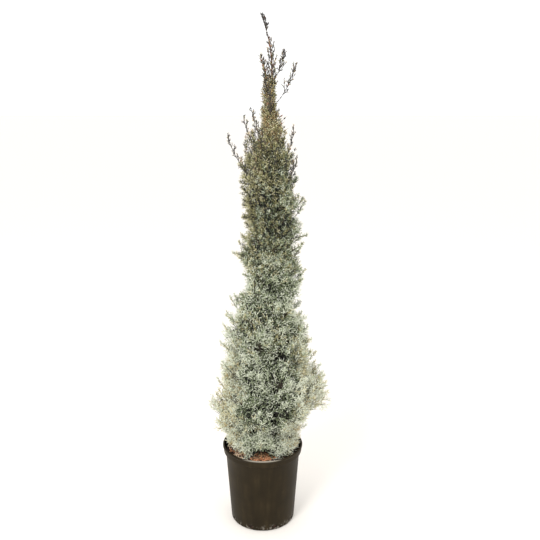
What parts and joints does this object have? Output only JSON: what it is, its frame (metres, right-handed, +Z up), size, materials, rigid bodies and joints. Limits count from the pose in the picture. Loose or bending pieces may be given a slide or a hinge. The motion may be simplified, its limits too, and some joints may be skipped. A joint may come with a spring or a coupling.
{
  "type": "potted arizona cypress",
  "caption": "Young columnar Arizona cypress with a slim trunk, ascending boughs and dense grey-green foliage, widest over the rim of its round dark nursery pot.",
  "frame": {"origin": "centre of the pot's flat underside", "axes": "+Z up the trunk, +X to the right and -Y towards the viewer of the pictured side"},
  "size_m": [0.3768, 0.3669, 1.6261],
  "materials": {
    "pot_plastic": "satin dark brown-black moulded plastic",
    "potting_mix": "rough, damp bark and peat",
    "bark": "rough, finely furrowed red-brown bark",
    "foliage": "matte, glaucous grey-green scale leaves"
  },
  "bodies": {
    "root": {"bough_07": "bark", "bough_08": "bark", "bough_09": "bark", "bough_10": "bark", "bough_11": "bark", "bough_12": "bark", "bough_13": "bark", "bough_14": "bark", "bough_15": "bark", "foliage_01": "foliage", "foliage_02": "foliage", "foliage_03": "foliage", "foliage_04": "foliage", "foliage_05": "foliage", "foliage_06": "foliage", "foliage_07": "foliage", "foliage_08": "foliage", "foliage_09": "foliage", "foliage_10": "foliage", "foliage_11": "foliage", "foliage_12": "foliage", "foliage_13": "foliage", "foliage_14": "foliage", "foliage_15": "foliage", "foliage_16": "foliage", "foliage_17": "foliage", "foliage_18": "foliage", "foliage_19": "foliage", "foliage_20": "foliage", "foliage_21": "foliage", "foliage_22": "foliage", "foliage_23": "foliage", "foliage_24": "foliage", "foliage_25": "foliage", "foliage_26": "foliage", "foliage_27": "foliage", "foliage_28": "foliage", "foliage_29": "foliage", "foliage_30": "foliage", "foliage_31": "foliage", "foliage_32": "foliage", "foliage_33": "foliage", "foliage_34": "foliage", "foliage_35": "foliage", "foliage_36": "foliage", "foliage_37": "foliage", "foliage_38": "foliage", "foliage_39": "foliage", "foliage_40": "foliage", "foliage_41": "foliage", "foliage_42": "foliage", "foliage_43": "foliage", "foliage_44": "foliage", "foliage_45": "foliage", "leader_tip_foliage": "foliage", "pot": "pot_plastic", "soil": "potting_mix", "trunk": "bark"}
  },
  "joints": []
}
